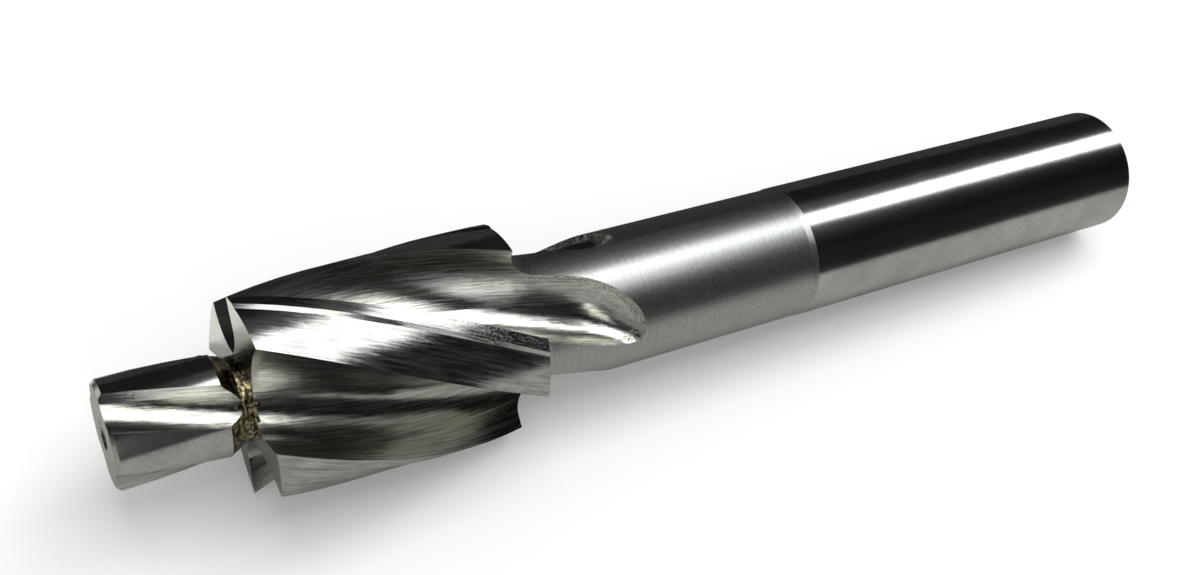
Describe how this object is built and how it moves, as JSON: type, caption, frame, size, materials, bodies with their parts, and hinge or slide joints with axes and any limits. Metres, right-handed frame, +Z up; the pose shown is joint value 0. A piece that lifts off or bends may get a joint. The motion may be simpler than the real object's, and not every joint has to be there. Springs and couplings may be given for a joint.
{
  "type": "counterbore cutter",
  "caption": "Straight-shank counterbore cutter with right-hand helical flutes and a fixed pilot, for sinking flat-bottomed screw head seats.",
  "frame": {"origin": "centre of the footprint, at the height of the surface that the tool lies on", "axes": "+X along the tool from the pilot to the shank's end, which lies 2.1 degrees lower than the head; +Z up from the surface that it rests on"},
  "size_m": [0.1006, 0.0174, 0.0179],
  "materials": {
    "high_speed_steel": "ground and polished"
  },
  "bodies": {
    "root": {"counterbore": "high_speed_steel"}
  },
  "joints": []
}
